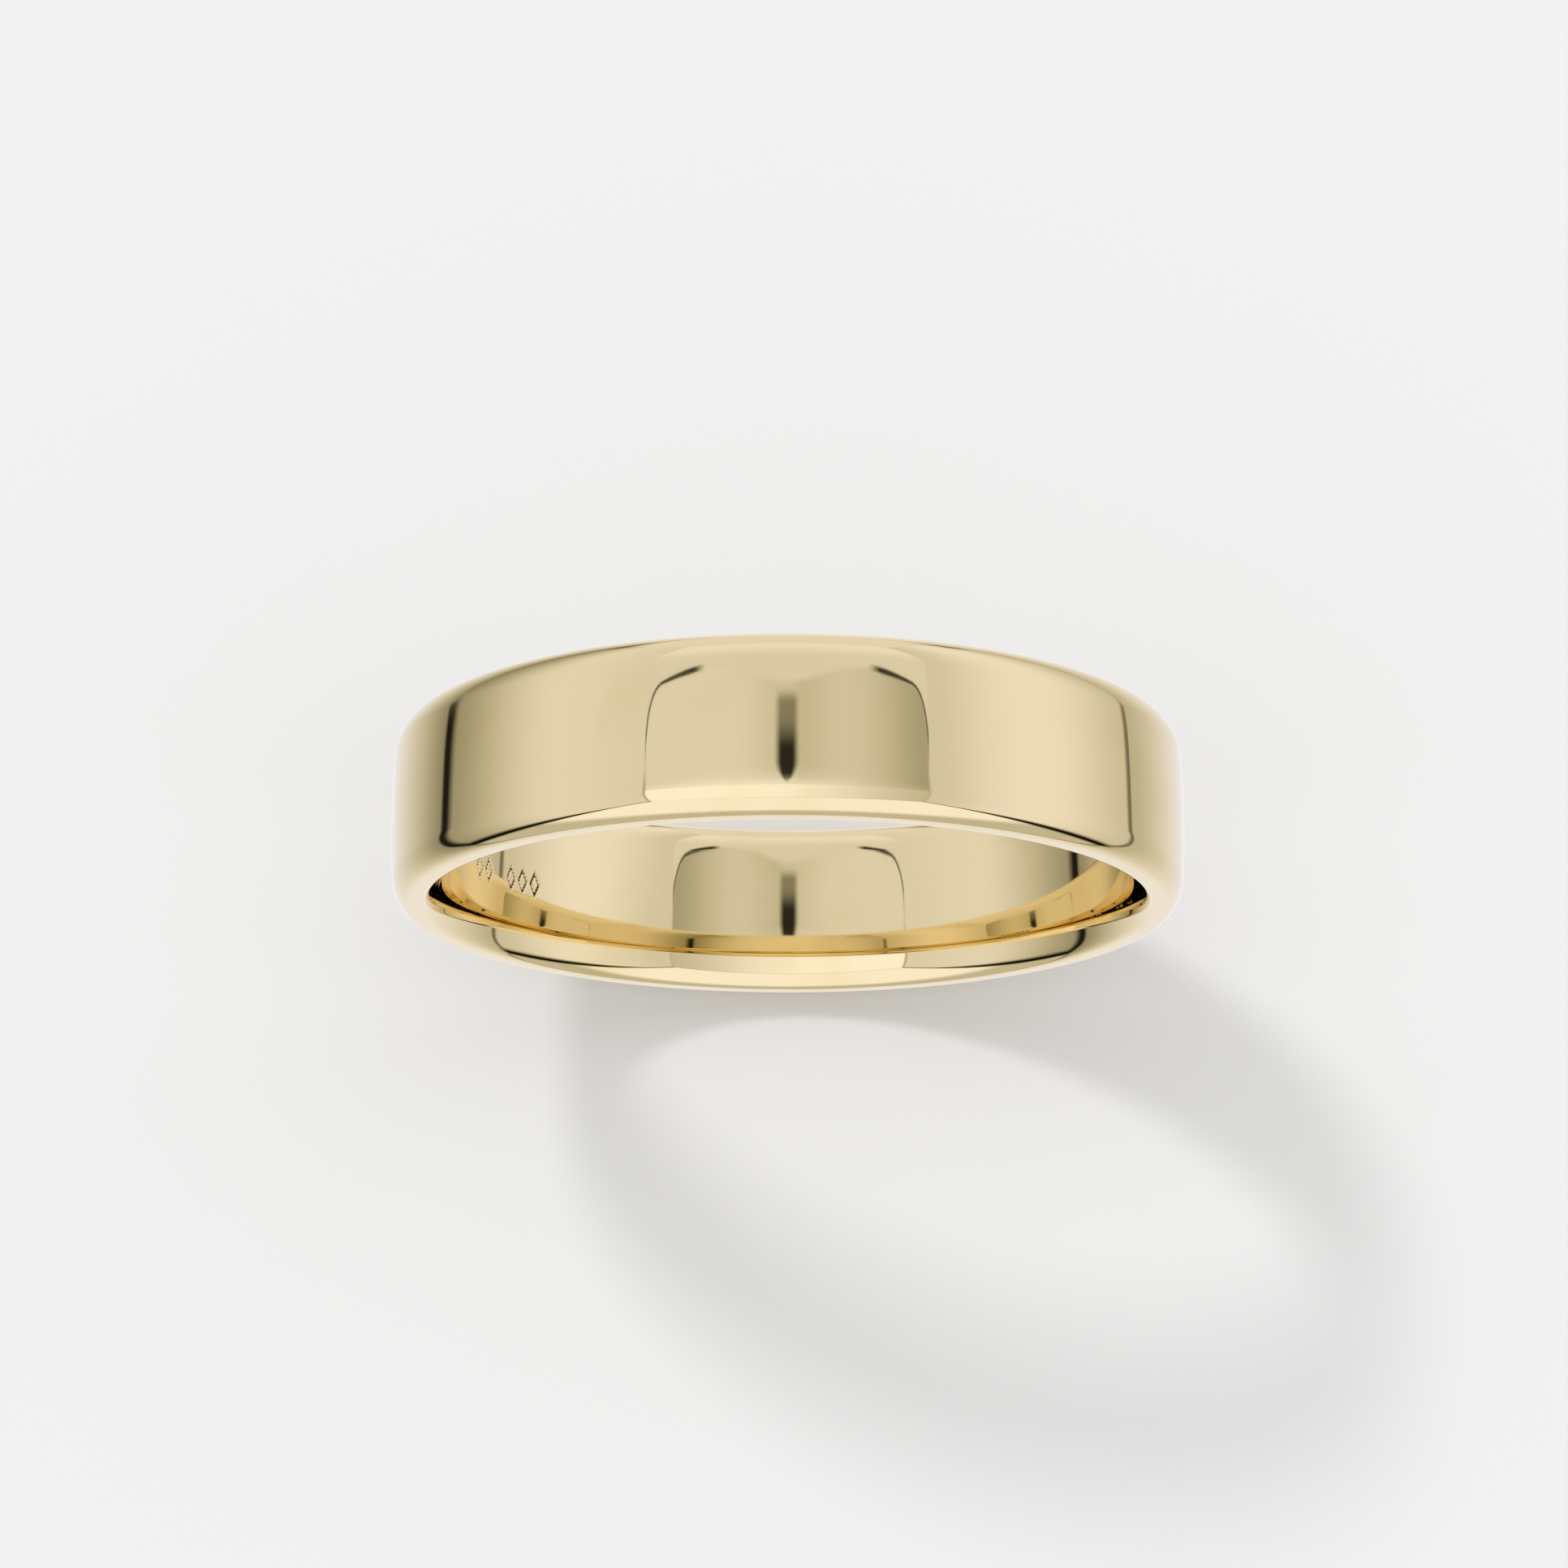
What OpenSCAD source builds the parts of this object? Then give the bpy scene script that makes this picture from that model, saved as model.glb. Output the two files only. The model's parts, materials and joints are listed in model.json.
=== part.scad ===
// Plain wedding band, turned and polished from one piece of yellow gold.
// The finger axis runs along Y through the origin, which is the centre of the bore,
// and the band stands upright on its rim with +Z up. All sizes are in millimetres.

/* [Ring size] */
// Inner diameter of the band, which sets the ring size (19.8 is US size 10)
inner_diameter = 19.8; // [14:0.1:23]

/* [Band] */
// Width of the band along the finger
band_width = 5; // [3:0.1:8]
// Thickness of the wall, from the bore to the outer face
wall_thickness = 1.4; // [1:0.1:2.4]

/* [Edges] */
// Radius of the two outer edges, beside the flat outer face
outer_edge_radius = 0.75; // [0.2:0.05:1]
// Radius of the two inner edges, where the band slides over the finger
inner_edge_radius = 0.6; // [0.2:0.05:1]

/* [Stamp] */
// Number of lozenges in the inside stamp's first group, nearest the bottom of the band
first_group = 3; // [1:1:6]
// Number of lozenges in its second group
second_group = 2; // [1:1:6]
// Height of a lozenge, along the finger
mark_height = 0.84; // [0.6:0.02:1.2]
// Width of a lozenge, around the bore
mark_width = 0.46; // [0.4:0.02:0.8]
// Width of the line that draws a lozenge
mark_line = 0.09; // [0.05:0.01:0.1]
// Depth of the stamp in the wall
mark_depth = 0.08; // [0.03:0.01:0.15]
// Space between two lozenges of a group, around the bore
mark_space = 0.08; // [0.04:0.02:0.4]
// Space between the two groups, around the bore
group_space = 0.7; // [0.4:0.1:3]
// Angle of the stamp's near end from the lowest point of the bore, towards -X
stamp_angle = 48.6; // [0:0.1:180]
// Distance of the stamp from the middle of the band, towards -Y
stamp_offset = 0.18; // [-0.5:0.02:0.5]

/* [Hidden] */
$fn = 128;

bore_radius = inner_diameter / 2;
outer_radius = bore_radius + wall_thickness;

// Both edge radii shrink together where the wall or the width is too small for them,
// so that the sides and the bore always keep a narrow flat.
least_flat = 0.02;
edge_scale = min(1,
                 (wall_thickness - least_flat) / (outer_edge_radius + inner_edge_radius),
                 (band_width - least_flat) / (2 * max(outer_edge_radius, inner_edge_radius)));
outer_edge = outer_edge_radius * edge_scale;
inner_edge = inner_edge_radius * edge_scale;

// Length of a lozenge's side, and the half diagonals of the island inside its line
mark_side = sqrt(pow(mark_width / 2, 2) + pow(mark_height / 2, 2));
island_x = mark_width / 2 - mark_line * mark_side / (mark_height / 2);
island_y = mark_height / 2 - mark_line * mark_side / (mark_width / 2);

// Distances around the bore, from the stamp's near end
mark_pitch = mark_width + mark_space;
second_start = first_group * mark_pitch - mark_space + group_space;

// Turns a length around the bore into an angle
function around_bore(length) = length / (PI * inner_diameter) * 360;

// What rounding takes off a square corner that stands at the origin, with the metal
// towards +X and +Y
module corner_cut(edge) {
    difference() {
        translate([-edge, -edge]) square(2 * edge);
        translate([edge, edge]) circle(r = edge);
    }
}

// Cross-section of the band: X is the distance from the finger axis, Y runs along the finger
module band_section() {
    difference() {
        translate([bore_radius, -band_width / 2]) square([wall_thickness, band_width]);
        for (end = [0, 1]) mirror([0, end]) {
            translate([bore_radius, -band_width / 2]) corner_cut(inner_edge);
            translate([outer_radius, -band_width / 2]) mirror([1, 0]) corner_cut(outer_edge);
        }
    }
}

module lozenge(half_x, half_y) {
    polygon([[half_x, 0], [0, half_y], [-half_x, 0], [0, -half_y]]);
}

// One punched lozenge: a line cut into the wall, standing round an uncut island
module lozenge_punch() {
    translate([0, 0, -bore_radius - mark_depth])
        linear_extrude(2 * mark_depth)
            difference() {
                lozenge(mark_width / 2, mark_height / 2);
                lozenge(island_x, island_y);
            }
}

// A row of punches that starts at a distance around the bore from the stamp's near end
module punch_row(count, start) {
    for (i = [0 : count - 1])
        rotate([0, stamp_angle + around_bore(start + i * mark_pitch + mark_width / 2), 0])
            lozenge_punch();
}

module inside_stamp() {
    translate([0, -stamp_offset, 0]) {
        punch_row(first_group, 0);
        punch_row(second_group, second_start);
    }
}

module band() {
    color("gold")
        difference() {
            rotate([90, 0, 0]) rotate_extrude() band_section();
            inside_stamp();
        }
}

band();
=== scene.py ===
import json
import math
from types import SimpleNamespace
import bmesh
import bpy
from mathutils import Matrix, Vector


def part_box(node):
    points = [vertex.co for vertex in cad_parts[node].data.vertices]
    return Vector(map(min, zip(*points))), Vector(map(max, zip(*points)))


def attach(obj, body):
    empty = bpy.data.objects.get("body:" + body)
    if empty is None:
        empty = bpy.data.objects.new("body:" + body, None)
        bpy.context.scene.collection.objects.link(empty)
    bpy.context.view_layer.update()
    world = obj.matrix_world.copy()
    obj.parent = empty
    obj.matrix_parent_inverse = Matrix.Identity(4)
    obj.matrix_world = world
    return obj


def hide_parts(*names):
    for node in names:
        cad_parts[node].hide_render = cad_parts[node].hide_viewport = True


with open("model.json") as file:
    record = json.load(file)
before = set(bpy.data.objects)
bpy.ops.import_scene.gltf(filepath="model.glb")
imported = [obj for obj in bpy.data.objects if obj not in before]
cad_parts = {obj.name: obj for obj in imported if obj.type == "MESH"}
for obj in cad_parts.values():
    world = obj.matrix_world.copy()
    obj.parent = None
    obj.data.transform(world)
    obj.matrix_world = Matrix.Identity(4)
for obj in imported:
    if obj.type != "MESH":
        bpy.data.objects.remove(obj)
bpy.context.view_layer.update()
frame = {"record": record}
print("frame loaded")

mm = 0.001

# the band's real sizes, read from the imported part
bandLow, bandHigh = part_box("band")
bore = next(m for m in frame["record"]["mounts"] if m["name"] == "finger_bore")
outerRadius = bandHigh.z
bandWidth = bandHigh.y - bandLow.y
boreRadius = bore["dims"]["r_mm"] * mm
floorHeight = bandLow.z

bandShape = {
    "outerEdge": (0.75 * mm, 0.5 * mm),    # rounding beside the outer face: along the finger, into the wall
    "frontInnerEdge": (1.15 * mm, 0.5 * mm),    # rounding beside the bore, longer at the front
    "backInnerEdge": (0.65 * mm, 0.42 * mm),
    "outerCrown": 45 * mm,       # the outer face is very slightly domed
    "outerShoulder": 0.05 * mm,  # and falls this much more towards its edges
    "innerCrown": 30 * mm,       # the bore is domed too, for comfort
    "edgeSteps": 22,
    "faceSteps": 20,
    "stepsAround": 560,
    "weld": 0.0005 * mm,
}

stampShape = {
    "groups": (3, 2),            # lozenges in each group
    "height": 0.84 * mm,
    "width": 0.46 * mm,
    "line": 0.09 * mm,
    "depth": 0.08 * mm,
    "space": 0.08 * mm,
    "groupSpace": 0.7 * mm,
    "angle": 48.6,               # degrees from the lowest point of the bore, towards -X
    "offset": -0.18 * mm,        # from the middle of the band
    "wall": 0.02 * mm,           # how far a punched wall leans
    "cuts": 5,                   # how finely the wall is divided under the stamp
    "margin": 0.15 * mm,         # and how far beyond it
    "boreBand": 0.4 * mm,        # how far out from the bore a stamped face can lie
    "nearWall": 0.01 * mm,
}

goldFinish = {
    "colour": (0.90, 0.745, 0.43, 1),
    "deepColour": (0.86, 0.69, 0.37, 1),
    "roughness": (0.02, 0.045),
    "colourSpread": (0.3, 0.45),     # where the patches pass from the deeper gold to the other
    "patchScale": 270,
    "patchDetail": 4,
    "streakScale": 7200,
    "streakDetail": 3,
    "streakStretch": (0.12, 1, 0.12),    # the streaks run round the band
    "hairlineStrength": 0.5,
    "hairlineDepth": 0.00002 * mm,
}

# the stamp's near-black colour is painted shade in the punched recess; its roughness and grain are the real
# dull finish
stampShadeAndFinish = {
    "colour": (0.07, 0.045, 0.02, 1),
    "roughness": (0.35, 0.6),
    "grainScale": 30000,
    "grainDetail": 3,
}


def newNode(tree, kind, **settings):
    node = tree.nodes.new(kind)
    for name, value in settings.items():
        if name in node.inputs:
            node.inputs[name].default_value = value
        else:
            setattr(node, name, value)
    return node


def newMaterial(name):
    material = bpy.data.materials.new(name)
    material.use_nodes = True
    material.node_tree.nodes.clear()
    return material, material.node_tree


def setRange(node, limits):
    node.inputs["To Min"].default_value, node.inputs["To Max"].default_value = limits


# fine polish: streaks that run round the band, and slow patches of slightly deeper gold
def makeGold():
    material, tree = newMaterial("polishedGold")
    link = tree.links.new
    place = newNode(tree, "ShaderNodeTexCoord")
    around = newNode(tree, "ShaderNodeMapping", Scale=goldFinish["streakStretch"])
    link(place.outputs["Object"], around.inputs["Vector"])
    streaks = newNode(tree, "ShaderNodeTexNoise", Scale=goldFinish["streakScale"],
                      Detail=goldFinish["streakDetail"])
    link(around.outputs["Vector"], streaks.inputs["Vector"])
    patches = newNode(tree, "ShaderNodeTexNoise", Scale=goldFinish["patchScale"],
                      Detail=goldFinish["patchDetail"])
    link(place.outputs["Object"], patches.inputs["Vector"])
    colour = newNode(tree, "ShaderNodeMix", data_type="RGBA")
    colour.inputs["A"].default_value = goldFinish["deepColour"]
    colour.inputs["B"].default_value = goldFinish["colour"]
    spread = newNode(tree, "ShaderNodeMapRange")
    low, high = goldFinish["colourSpread"]
    spread.inputs["From Min"].default_value = low
    spread.inputs["From Max"].default_value = high
    link(patches.outputs["Fac"], spread.inputs["Value"])
    link(spread.outputs["Result"], colour.inputs["Factor"])
    rough = newNode(tree, "ShaderNodeMapRange")
    setRange(rough, goldFinish["roughness"])
    link(streaks.outputs["Fac"], rough.inputs["Value"])
    bump = newNode(tree, "ShaderNodeBump", Strength=goldFinish["hairlineStrength"],
                   Distance=goldFinish["hairlineDepth"])
    link(streaks.outputs["Fac"], bump.inputs["Height"])
    shader = newNode(tree, "ShaderNodeBsdfPrincipled", Metallic=1)
    link(colour.outputs["Result"], shader.inputs["Base Color"])
    link(rough.outputs["Result"], shader.inputs["Roughness"])
    link(bump.outputs["Normal"], shader.inputs["Normal"])
    out = newNode(tree, "ShaderNodeOutputMaterial")
    link(shader.outputs["BSDF"], out.inputs["Surface"])
    return material


# the floor of a punched line is left dull, and its near-black colour is painted shade for the recess
def makeStampShadedGold():
    material, tree = newMaterial("stampedGoldPaintedShade")
    link = tree.links.new
    place = newNode(tree, "ShaderNodeTexCoord")
    grain = newNode(tree, "ShaderNodeTexNoise", Scale=stampShadeAndFinish["grainScale"],
                    Detail=stampShadeAndFinish["grainDetail"])
    link(place.outputs["Object"], grain.inputs["Vector"])
    rough = newNode(tree, "ShaderNodeMapRange")
    setRange(rough, stampShadeAndFinish["roughness"])
    link(grain.outputs["Fac"], rough.inputs["Value"])
    shader = newNode(tree, "ShaderNodeBsdfPrincipled", Metallic=1)
    shader.inputs["Base Color"].default_value = stampShadeAndFinish["colour"]
    link(rough.outputs["Result"], shader.inputs["Roughness"])
    out = newNode(tree, "ShaderNodeOutputMaterial")
    link(shader.outputs["BSDF"], out.inputs["Surface"])
    return material


# how far a domed face falls away at a distance along the finger
def crownDrop(crown, along):
    return crown - math.sqrt(crown * crown - along * along)


def boreWallRadius(along):
    return boreRadius + crownDrop(bandShape["innerCrown"], along)


# which rounding a corner of the section gets
def edgeName(point):
    if point.co.z > (boreRadius + outerRadius) / 2:
        return "outerEdge"
    return "frontInnerEdge" if point.co.y < 0 else "backInnerEdge"


# the section stands in the YZ plane: a rectangle, its corners rounded, its long sides domed
def makeSection(mesh):
    half = bandWidth / 2
    corners = [(-half, boreRadius), (half, boreRadius), (half, outerRadius), (-half, outerRadius)]
    points = [mesh.verts.new((0, along, out)) for along, out in corners]
    for i, point in enumerate(points):
        mesh.edges.new((point, points[(i + 1) % 4]))
    for point in points:
        bmesh.ops.bevel(mesh, geom=[point], offset=bandShape[edgeName(point)][1], offset_type="OFFSET",
                        affect="VERTICES", segments=bandShape["edgeSteps"], profile=0.5, material=-1)
    for point in mesh.verts:     # the rounding is longer along the finger than it is deep
        length, depth = bandShape[edgeName(point)]
        toEnd = (half - abs(point.co.y)) * length / depth
        point.co.y = math.copysign(half - toEnd, point.co.y)
    longSides = [e for e in mesh.edges if e.calc_length() > bandWidth / 3]
    bmesh.ops.subdivide_edges(mesh, edges=longSides, cuts=bandShape["faceSteps"])
    wall = outerRadius - boreRadius
    for point in mesh.verts:
        outward = (point.co.z - boreRadius) / wall
        point.co.z += (1 - outward) * crownDrop(bandShape["innerCrown"], point.co.y)
        shoulder = bandShape["outerShoulder"] * (point.co.y / half) ** 4
        point.co.z -= outward * (crownDrop(bandShape["outerCrown"], point.co.y) + shoulder)


# where the lozenges are punched: the distance of each centre round the bore from the stamp's near end
def lozengeCentres():
    centres = []
    start = 0
    for count in stampShape["groups"]:
        for i in range(count):
            centres.append(start + stampShape["width"] / 2)
            start += stampShape["width"] + stampShape["space"]
        start += stampShape["groupSpace"] - stampShape["space"]
    return centres, start - stampShape["groupSpace"]


def smooth(amount):
    amount = min(1, max(0, amount))
    return amount * amount * (3 - 2 * amount)


# how deep the stamp is at a distance round the bore and a distance along the finger
def stampDepth(around, along, centres):
    halfX = stampShape["width"] / 2
    halfY = stampShape["height"] / 2
    reach = halfX * halfY / math.hypot(halfX, halfY)
    deepest = 0
    for centre in centres:
        inside = (1 - abs(around - centre) / halfX - abs(along - stampShape["offset"]) / halfY) * reach
        cut = smooth(inside / stampShape["wall"]) * smooth((stampShape["line"] - inside) / stampShape["wall"])
        deepest = max(deepest, cut)
    return deepest * stampShape["depth"]


def stampBore(mesh):
    centres, length = lozengeCentres()
    near = math.radians(stampShape["angle"])
    margin = stampShape["margin"]

    def placeOf(point):
        angle = math.atan2(-point.x, -point.z)
        return (angle - near) * boreRadius, point.y

    def inRange(face):
        middle = face.calc_center_median()
        around, along = placeOf(middle)
        isBore = math.hypot(middle.x, middle.z) < boreWallRadius(along) + stampShape["nearWall"]
        onRow = abs(along - stampShape["offset"]) < stampShape["height"] / 2 + margin
        return isBore and onRow and -margin < around < length + margin

    faces = [f for f in mesh.faces if inRange(f)]
    edges = list({e for f in faces for e in f.edges})
    made = bmesh.ops.subdivide_edges(mesh, edges=edges, cuts=stampShape["cuts"], use_grid_fill=True)
    points = {v for item in made["geom_inner"] if isinstance(item, bmesh.types.BMFace) for v in item.verts}
    points |= {item for item in made["geom_inner"] if isinstance(item, bmesh.types.BMVert)}
    for point in points:
        around, along = placeOf(point.co)
        wanted = boreWallRadius(along) + stampDepth(around, along, centres)
        now = math.hypot(point.co.x, point.co.z)
        point.co.x *= wanted / now
        point.co.z *= wanted / now
    # faces deep in the stamp take the dull gold whose dark colour is painted shade
    for face in mesh.faces:
        middle = face.calc_center_median()
        if math.hypot(middle.x, middle.z) < boreRadius + stampShape["boreBand"]:
            around, along = placeOf(middle)
            if stampDepth(around, along, centres) > stampShape["depth"] * 0.5:
                face.material_index = 1
    print("stamp punched:", len(faces), "faces refined")


def makeBand():
    mesh = bmesh.new()
    makeSection(mesh)
    bmesh.ops.spin(mesh, geom=mesh.verts[:] + mesh.edges[:], cent=(0, 0, 0), axis=(0, 1, 0), dvec=(0, 0, 0),
                   angle=2 * math.pi, steps=bandShape["stepsAround"], use_merge=True, use_duplicate=False)
    bmesh.ops.remove_doubles(mesh, verts=mesh.verts[:], dist=bandShape["weld"])
    bmesh.ops.recalc_face_normals(mesh, faces=mesh.faces[:])
    stampBore(mesh)
    for face in mesh.faces:
        face.smooth = True
    data = bpy.data.meshes.new("polishedBand")
    mesh.to_mesh(data)
    mesh.free()
    band = bpy.data.objects.new("polished_band", data)
    bpy.context.scene.collection.objects.link(band)
    data.materials.append(makeGold())
    data.materials.append(makeStampShadedGold())
    print("band made:", len(data.polygons), "faces")
    return band


band = makeBand()
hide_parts("band")
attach(band, "root")

studio = {
    "white": 0.935,              # brightness of the plain surroundings
    "floorColour": (0.80, 0.80, 0.80, 1),
    "floorSize": 4.0,
    "keyDirection": (-0.52, 0.72, 1.0),
    "keySoftness": 10,
    "keyStrength": 0.77,
}

# a light box of white cloth stands round the band, far off, and only its reflections see it.
# Its measures, here and below, are shares of half its width.
tent = {
    "halfWidth": 3.0,
    "front": 0.65,
    "back": 2.4,
    "floor": 0.47,
    "ceiling": 1.18,
    "panelBack": 0.52,           # the lit panel in the ceiling ends here, with round corners
    "panelCorner": 0.15,
    "panelDip": 0.10,            # and its back edge curves forward in the middle
    "slot": 0.08,                # half the width of the gap in the panel
    "slotEnds": (0.20, 0.40),
    "atFace": 0.001,             # nearer to a side than this is on it
}
tentLight = {
    "leftWall": (0.35, 0.84),    # at its foot, and higher up
    "rightWall": (0.66, 0.93),
    "panel": (0.80, 0.48),       # at the left, and at the right
    "panelFront": (1.10, 0.62),
    "panelMiddle": 0.84,         # the share of the left's light that the middle has
    "floor": (0.30, 0.55, 0.92), # beside the left wall, beside the right wall, and in the middle
    "front": (0.60, 1.06),       # low, and high
    "back": 0.84,
    "sweep": (0.92, 1.08),       # the ceiling behind the panel, as shares of the back wall
    "least": 0.004,              # what the darkest seam still gives off
    "dimTint": (1.0, 0.99, 0.86, 1),    # dim cloth looks a little warm, bright cloth a little cool
    "brightTint": (1.0, 1.02, 1.17, 1),
    "tintRange": (0.3, 1.0),
}
# how the light changes over the cloth: from one place to another, and for some the values there
tentFades = {
    "leftFoot": (0.0, 0.85),
    "rightFoot": (0.0, 0.7),
    "leftTop": (0.4, 1.1, 1.0, 0.94),
    "rightTop": (0.3, 1.1, 1.0, 0.78),
    "floorLeft": (-1.0, 0.0),
    "floorRight": (1.0, 0.0),
    "frontFoot": (0.0, 0.25),
    "panelRight": (0.35, 1.0),
    "panelMiddle": (0.0, 0.35),
    "besideSlot": (0.0, 0.1, 1.0, 0.88),
    "panelFront": (0.24, 0.06),
    "panelFrontAcross": (-0.2, 1.0),
    "dip": (0.0, 0.55),
    "sweep": (0.4, 1.6),
    "panelEdge": (-0.02, 0.01),
    "sideFootAlong": (0.52, 0.34, 0.1, 1.0),
    "frontSideWidth": (0.9, -0.4, 0.03, 0.23),
    "ceilingAlong": (0.35, 0.2),
    "cornerWidth": (0.6, 0.9, 0.022, 0.010),
    "cornerAcross": (0.50, 0.60),
    "cornerAlong": (0.28, 0.42),
}
# the dark seams where sides of the box meet: width, and how dark
tentSeams = {
    "leftFoot": (0.11, 0.97),
    "rightFoot": (0.05, 0.70),
    "frontSideDark": 1.0,
    "frontFoot": (0.05, 0.5),
    "frontCeiling": (0.04, 0.15),
    "ceilingWidth": 0.025,
    "ceilingDark": (0.2, 0.45),  # at the right, and at the left
    "frontCorner": (0.25, 0.95), # where three sides meet
    "backCorner": (0.4, 0.8),
    "core": 0.2,                 # the share of a seam's width that is fully dark
    "panelDark": 0.97,
    "panelCore": 0.3,
}
tentSlot = {
    "lead": 0.08,                # its pointed front end starts this far before it
    "full": 0.04,                # and is at full width this far into it
    "leastWidth": 0.004,
    "core": 0.4,
    "backFade": 0.04,
    "darkFrom": 0.07,            # it is darkest in front of this, and then clears towards its back end
    "clearAt": 0.06,
    "dark": (0.97, 0.62),
}


def addStage(name, mesh, material):
    data = bpy.data.meshes.new(name)
    mesh.to_mesh(data)
    mesh.free()
    piece = bpy.data.objects.new(name, data)
    data.materials.append(material)
    bpy.context.scene.collection.objects.link(piece)
    return piece


def onlyInReflections(piece):
    piece.visible_camera = False
    piece.visible_diffuse = False
    piece.visible_shadow = False
    piece.visible_transmission = False
    piece.visible_volume_scatter = False


def makeFloor():
    material, tree = newMaterial("paleFloor")
    shader = newNode(tree, "ShaderNodeBsdfDiffuse", Color=studio["floorColour"])
    out = newNode(tree, "ShaderNodeOutputMaterial")
    tree.links.new(shader.outputs["BSDF"], out.inputs["Surface"])
    mesh = bmesh.new()
    bmesh.ops.create_grid(mesh, x_segments=1, y_segments=1, size=studio["floorSize"])
    bmesh.ops.translate(mesh, verts=mesh.verts[:], vec=(0, 0, floorHeight))
    floor = addStage("floor", mesh, material)
    floor.visible_glossy = False     # the band mirrors the tent instead


# a number or a link goes into each input
def feed(tree, node, values):
    for socket, value in zip(node.inputs, values):
        if isinstance(value, bpy.types.NodeSocket):
            tree.links.new(value, socket)
        else:
            socket.default_value = value


def calc(tree, operation, *values):
    node = newNode(tree, "ShaderNodeMath", operation=operation)
    feed(tree, node, values)
    return node.outputs["Value"]


def fade(tree, value, low, high, start=0.0, end=1.0):
    node = newNode(tree, "ShaderNodeMapRange", interpolation_type="SMOOTHSTEP")
    feed(tree, node, (value, low, high, start, end))
    return node.outputs["Result"]


# sums on the links of a shader's node tree
class Sums:
    def __init__(self, tree):
        self.tree = tree

    def add(self, a, b):
        return calc(self.tree, "ADD", a, b)

    def take(self, a, b):
        return calc(self.tree, "SUBTRACT", a, b)

    def times(self, a, b):
        return calc(self.tree, "MULTIPLY", a, b)

    def over(self, a, b):
        return calc(self.tree, "DIVIDE", a, b)

    def size(self, a):
        return calc(self.tree, "ABSOLUTE", a)

    def larger(self, a, b):
        return calc(self.tree, "MAXIMUM", a, b)

    def smaller(self, a, b):
        return calc(self.tree, "MINIMUM", a, b)

    def below(self, a, b):
        return calc(self.tree, "LESS_THAN", a, b)

    def step(self, a, low, high, start=0.0, end=1.0):
        return fade(self.tree, a, low, high, start, end)

    def blend(self, amount, a, b):
        return self.add(self.times(a, self.take(1.0, amount)), self.times(b, amount))

    def far(self, a, b):
        return calc(self.tree, "SQRT", self.add(self.times(a, a), self.times(b, b)))


# where on the box a place is, and how far from each side
def tentPlaces(tree, sums):
    place = newNode(tree, "ShaderNodeTexCoord")
    scaled = newNode(tree, "ShaderNodeVectorMath", operation="SCALE", Scale=1 / tent["halfWidth"])
    tree.links.new(place.outputs["Object"], scaled.inputs[0])
    split = newNode(tree, "ShaderNodeSeparateXYZ")
    tree.links.new(scaled.outputs["Vector"], split.inputs["Vector"])
    x, y, z = split.outputs
    return SimpleNamespace(
        x=x, y=y, z=z,
        isLeft=sums.below(x, 0.0),
        toSide=sums.take(1.0, sums.size(x)),
        toFront=sums.add(y, tent["front"]),
        toBack=sums.take(tent["back"], y),
        toFloor=sums.add(z, tent["floor"]),
        toCeiling=sums.take(tent["ceiling"], z))


# how far a place on the ceiling is outside the lit panel
def panelOutline(sums, at):
    dip = sums.step(sums.size(at.x), *tentFades["dip"], tent["panelDip"], 0.0)
    pastBack = sums.add(sums.take(at.y, sums.take(tent["panelBack"], dip)), tent["panelCorner"])
    pastSide = sums.take(tent["panelCorner"], at.toSide)
    rounded = sums.far(sums.larger(pastBack, 0.0), sums.larger(pastSide, 0.0))
    inside = sums.smaller(sums.larger(pastBack, pastSide), 0.0)
    return sums.add(sums.take(rounded, tent["panelCorner"]), inside)


# the lit panel is brighter to the left and along its front, with a shadow beside the slot
def ceilingLight(sums, at, outline):
    left, right = tentLight["panel"]
    middle = sums.step(sums.size(at.x), *tentFades["panelMiddle"], left * tentLight["panelMiddle"], left)
    panel = sums.times(sums.step(at.x, *tentFades["panelRight"], 1.0, right / left), middle)
    panel = sums.times(panel, sums.step(at.x, *tentFades["besideSlot"]))
    front = sums.step(at.x, *tentFades["panelFrontAcross"], *tentLight["panelFront"])
    panel = sums.blend(sums.step(at.y, *tentFades["panelFront"]), panel, front)
    near, far = tentLight["sweep"]
    sweep = sums.step(at.y, *tentFades["sweep"], tentLight["back"] * near, tentLight["back"] * far)
    return sums.blend(sums.step(outline, *tentFades["panelEdge"]), panel, sweep)


# each wall is darker at its foot
def clothLight(sums, at, onFace, outline):
    leftWall = sums.step(at.toFloor, *tentFades["leftFoot"], *tentLight["leftWall"])
    leftWall = sums.times(leftWall, sums.step(at.z, *tentFades["leftTop"]))
    rightWall = sums.step(at.toFloor, *tentFades["rightFoot"], *tentLight["rightWall"])
    rightWall = sums.times(rightWall, sums.step(at.z, *tentFades["rightTop"]))
    besideLeft, besideRight, middle = tentLight["floor"]
    ground = sums.smaller(sums.step(at.x, *tentFades["floorLeft"], besideLeft, middle),
                          sums.step(at.x, *tentFades["floorRight"], besideRight, middle))
    frontWall = sums.step(at.z, *tentFades["frontFoot"], *tentLight["front"])
    light = sums.blend(at.isLeft, rightWall, leftWall)
    light = sums.blend(onFace(at.toFloor), light, ground)
    light = sums.blend(onFace(at.toFront), light, frontWall)
    light = sums.blend(onFace(at.toBack), light, tentLight["back"])
    return sums.blend(onFace(at.toCeiling), light, ceilingLight(sums, at, outline))


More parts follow.
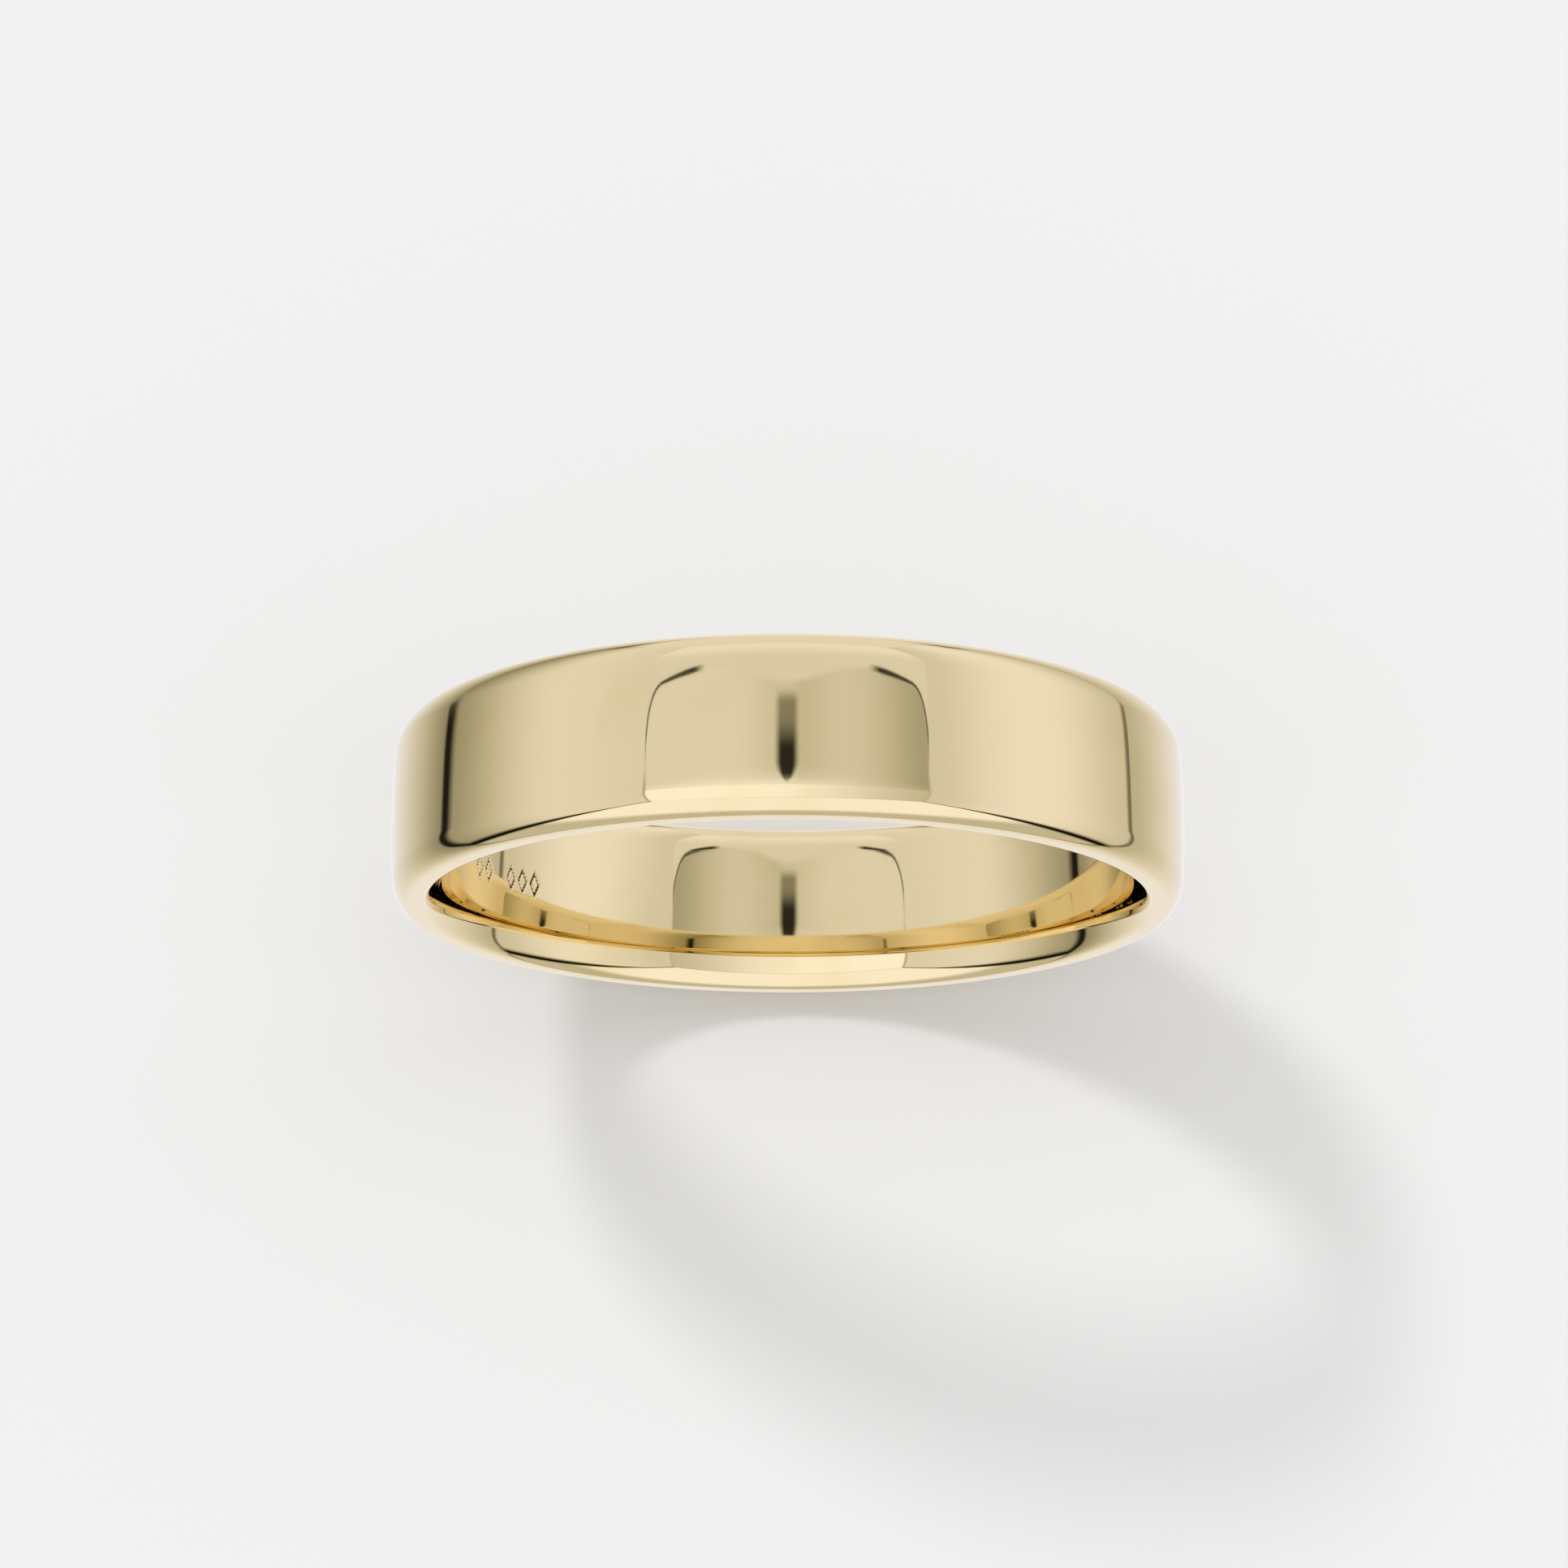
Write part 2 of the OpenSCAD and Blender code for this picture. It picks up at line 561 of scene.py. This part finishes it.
# how dark the seams are where sides of the box meet
def seamGaps(sums, at):
    def seam(a, b, width, strength):
        return sums.times(sums.step(sums.over(sums.far(a, b), width), 1.0, tentSeams["core"]), strength)

    leftWidth, leftDark = tentSeams["leftFoot"]
    rightWidth, rightDark = tentSeams["rightFoot"]
    foot = seam(at.toSide, at.toFloor, sums.blend(at.isLeft, rightWidth, leftWidth),
                sums.blend(at.isLeft, rightDark, leftDark))
    gap = sums.times(foot, sums.step(at.y, *tentFades["sideFootAlong"]))
    frontWidth = sums.step(at.z, *tentFades["frontSideWidth"])
    gap = sums.larger(gap, seam(at.toSide, at.toFront, frontWidth, tentSeams["frontSideDark"]))
    gap = sums.larger(gap, seam(at.toFront, at.toFloor, *tentSeams["frontFoot"]))
    gap = sums.larger(gap, seam(at.toFront, at.toCeiling, *tentSeams["frontCeiling"]))
    ceilingDark = sums.blend(at.isLeft, *tentSeams["ceilingDark"])
    ceiling = seam(at.toSide, at.toCeiling, tentSeams["ceilingWidth"], ceilingDark)
    gap = sums.larger(gap, sums.times(ceiling, sums.step(at.y, *tentFades["ceilingAlong"])))
    gap = sums.larger(gap, seam(sums.far(at.toSide, at.toFront), at.toFloor, *tentSeams["frontCorner"]))
    return sums.larger(gap, seam(sums.far(at.toSide, at.toBack), at.toFloor, *tentSeams["backCorner"]))


# the gap at the panel's back corners is widest towards the middle
def cornerGap(sums, at, onFace, outline):
    width = sums.step(sums.size(at.x), *tentFades["cornerWidth"])
    line = sums.step(sums.over(sums.size(outline), width), 1.0, tentSeams["panelCore"])
    line = sums.times(line, onFace(at.toCeiling))
    line = sums.times(line, sums.times(sums.step(sums.size(at.x), *tentFades["cornerAcross"]),
                                       sums.step(at.y, *tentFades["cornerAlong"])))
    return sums.times(line, tentSeams["panelDark"])


# the slot is darkest at its front end, where it comes to a point
def slotGap(sums, at, onFace):
    start, end = tent["slotEnds"]
    lead = start - tentSlot["lead"]
    width = sums.times(sums.step(at.y, lead, start + tentSlot["full"]), tent["slot"])
    width = sums.larger(width, tentSlot["leastWidth"])
    slot = sums.step(sums.over(sums.size(at.x), width), 1.0, tentSlot["core"])
    slot = sums.times(slot, onFace(at.toCeiling))
    slot = sums.times(slot, sums.times(sums.step(at.y, lead, start),
                                       sums.step(at.y, end, end - tentSlot["backFade"])))
    dark = sums.step(at.y, start + tentSlot["darkFrom"], end - tentSlot["clearAt"], *tentSlot["dark"])
    return sums.times(slot, dark)


# the light box's cloth, from the place on it
def makeTentLight():
    material, tree = newMaterial("tentLight")
    sums = Sums(tree)
    at = tentPlaces(tree, sums)
    outline = panelOutline(sums, at)

    def onFace(distance):
        return sums.below(distance, tent["atFace"])

    gap = seamGaps(sums, at)
    gap = sums.larger(gap, cornerGap(sums, at, onFace, outline))
    gap = sums.larger(gap, slotGap(sums, at, onFace))
    light = sums.times(clothLight(sums, at, onFace, outline), sums.take(1.0, gap))
    light = sums.add(light, tentLight["least"])
    tint = newNode(tree, "ShaderNodeMix", data_type="RGBA")
    tint.inputs["A"].default_value = tentLight["dimTint"]
    tint.inputs["B"].default_value = tentLight["brightTint"]
    tree.links.new(sums.step(light, *tentLight["tintRange"]), tint.inputs["Factor"])
    shader = newNode(tree, "ShaderNodeEmission")
    tree.links.new(tint.outputs["Result"], shader.inputs["Color"])
    tree.links.new(light, shader.inputs["Strength"])
    out = newNode(tree, "ShaderNodeOutputMaterial")
    tree.links.new(shader.outputs["Emission"], out.inputs["Surface"])
    return material


def makeTent():
    mesh = bmesh.new()
    bmesh.ops.create_cube(mesh, size=2)
    for corner in mesh.verts:
        corner.co.y = tent["back"] if corner.co.y > 0 else -tent["front"]
        corner.co.z = tent["ceiling"] if corner.co.z > 0 else -tent["floor"]
        corner.co *= tent["halfWidth"]
    onlyInReflections(addStage("tent", mesh, makeTentLight()))


def makeLights():
    world = bpy.data.worlds.new("studioWhite")
    world.use_nodes = True
    level = studio["white"]
    world.node_tree.nodes["Background"].inputs["Color"].default_value = (level, level, level, 1)
    world.node_tree.nodes["Background"].inputs["Strength"].default_value = 1
    bpy.context.scene.world = world
    lamp = bpy.data.lights.new("keyLight", "SUN")
    lamp.energy = studio["keyStrength"]
    lamp.angle = math.radians(studio["keySoftness"])
    key = bpy.data.objects.new("keyLight", lamp)
    key.rotation_euler = Vector(studio["keyDirection"]).to_track_quat("Z", "Y").to_euler()
    key.visible_glossy = False
    bpy.context.scene.collection.objects.link(key)


makeFloor()
makeTent()
makeLights()
print("studio made")

cameraPlace = {
    "azimuth": 1.1,              # degrees round from the front, towards +X
    "elevation": 75.6,
    "roll": -1.17,
    "distance": 137.35 * mm,
    "lens": 110.3,
    "sensor": 36,
    "nearest": 5 * mm,
    "aimUp": 1.194 * mm,         # the band sits a little below the middle of the frame
    "aimRight": -0.112 * mm,
}


def makeCamera():
    azimuth = math.radians(cameraPlace["azimuth"])
    elevation = math.radians(cameraPlace["elevation"])
    away = Vector((math.sin(azimuth) * math.cos(elevation), -math.cos(azimuth) * math.cos(elevation),
                   math.sin(elevation)))
    data = bpy.data.cameras.new("camera")
    data.lens = cameraPlace["lens"]
    data.sensor_width = cameraPlace["sensor"]
    data.clip_start = cameraPlace["nearest"]
    camera = bpy.data.objects.new("camera", data)
    place = away * cameraPlace["distance"]
    roll = Matrix.Rotation(math.radians(cameraPlace["roll"]), 3, "Z")
    turn = (-away).to_track_quat("-Z", "Y").to_matrix() @ roll
    right, up = turn.col[0], turn.col[1]
    aim = up * cameraPlace["aimUp"] + right * cameraPlace["aimRight"]
    turned = (aim - place).to_track_quat("-Z", "Y").to_matrix() @ roll
    camera.matrix_world = Matrix.Translation(place) @ turned.to_4x4()
    bpy.context.scene.collection.objects.link(camera)
    bpy.context.scene.camera = camera


makeCamera()
bpy.context.scene.view_settings.view_transform = "Standard"
print("camera set")
